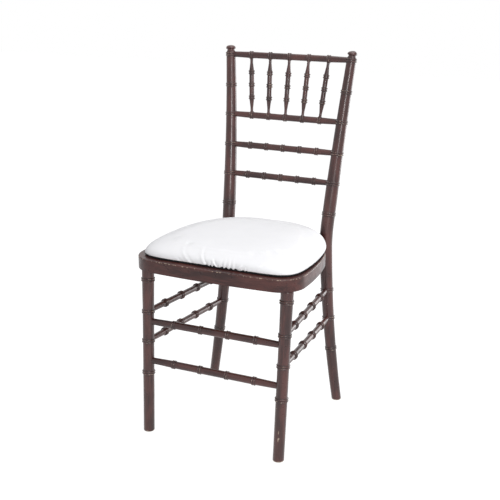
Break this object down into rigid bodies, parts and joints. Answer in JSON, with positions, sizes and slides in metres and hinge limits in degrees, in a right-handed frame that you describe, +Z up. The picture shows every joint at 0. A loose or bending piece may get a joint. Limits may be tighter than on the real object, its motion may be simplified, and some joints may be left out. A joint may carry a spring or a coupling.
{
  "type": "chiavari dining chair",
  "caption": "Turned wooden ballroom chair with bamboo-style rings, spindled back, stretchers and a lift-off domed white seat cushion.",
  "frame": {"origin": "on the floor, under the centre of the bounding box; the chair's mirror plane is X = 0", "axes": "+Z up; the chair faces -Y, so -Y is the side where the sitter's knees are; +X is the right-hand side for someone looking at the chair's front"},
  "size_m": [0.4302, 0.4778, 0.9146],
  "materials": {
    "stained_beech": "dark mahogany stain under satin-gloss lacquer",
    "birch_plywood": "raw sanded plywood",
    "bare_beech": "raw sawn beech",
    "zinc_steel": "zinc plated",
    "white_stretch_cloth": "smooth matt stretch knit",
    "black_elastic": "woven elastic binding",
    "seat_foam": "open-cell foam",
    "grip_tape": "woven hook and loop tape"
  },
  "bodies": {
    "chair_frame": {"corner_block_front_left": "bare_beech", "corner_block_front_right": "bare_beech", "corner_block_rear_left": "bare_beech", "corner_block_rear_right": "bare_beech", "corner_block_screws": "zinc_steel", "front_leg_left": "stained_beech", "front_leg_right": "stained_beech", "front_stretcher_lower": "stained_beech", "front_stretcher_upper": "stained_beech", "lower_back_rail": "stained_beech", "middle_rail": "stained_beech", "post_bolt_washers": "zinc_steel", "post_bolts": "zinc_steel", "rear_post_left": "stained_beech", "rear_post_right": "stained_beech", "seat_front_rail": "stained_beech", "seat_hook_strips": "grip_tape", "seat_panel": "birch_plywood", "seat_panel_screws": "zinc_steel", "seat_rear_rail": "stained_beech", "seat_side_rail_left": "stained_beech", "seat_side_rail_right": "stained_beech", "side_stretcher_left_lower": "stained_beech", "side_stretcher_left_upper": "stained_beech", "side_stretcher_right_lower": "stained_beech", "side_stretcher_right_upper": "stained_beech", "spindle_1": "stained_beech", "spindle_2": "stained_beech", "spindle_3": "stained_beech", "spindle_4": "stained_beech", "spindle_5": "stained_beech", "spindle_rail": "stained_beech", "top_rail": "stained_beech"},
    "cushion": {"cushion_board": "birch_plywood", "cushion_cover": "white_stretch_cloth", "cushion_elastic": "black_elastic", "cushion_foam": "seat_foam", "cushion_loop_strips": "grip_tape"}
  },
  "joints": [
    {"name": "cushion_lift", "type": "slide", "parent": "chair_frame", "child": "cushion", "axis": [0, 0, 1], "range_m": [0, 0.12]}
  ]
}
